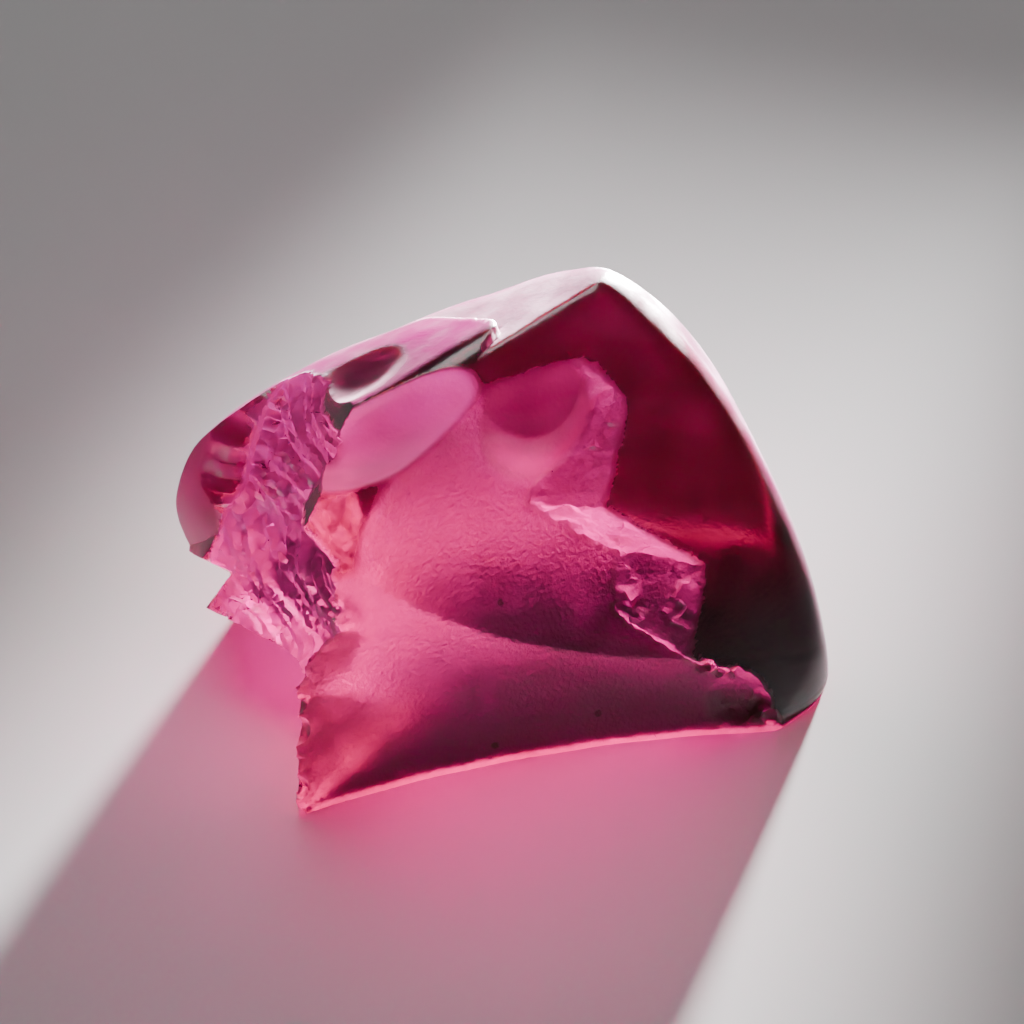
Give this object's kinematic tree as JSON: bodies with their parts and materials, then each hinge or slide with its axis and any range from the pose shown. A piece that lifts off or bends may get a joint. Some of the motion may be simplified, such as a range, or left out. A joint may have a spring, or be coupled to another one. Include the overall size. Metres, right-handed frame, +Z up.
{
  "type": "rough zircon crystal",
  "caption": "Rough see-through pink gem crystal with a worn skin, a stepped flake scar across the front and a sharp fracture at one end, resting on a flat underside.",
  "frame": {"origin": "on the flat underside the stone rests on, under the middle of its outline", "axes": "+Z up; +X to the right, from the fractured end to the domed end; -Y to the front, which carries the flake scar"},
  "size_m": [0.0207, 0.0148, 0.0132],
  "materials": {
    "pink_zircon": "clear deep pink crystal, frosted where worn and glossy on fresh breaks"
  },
  "bodies": {
    "root": {"zircon": "pink_zircon"}
  },
  "joints": []
}
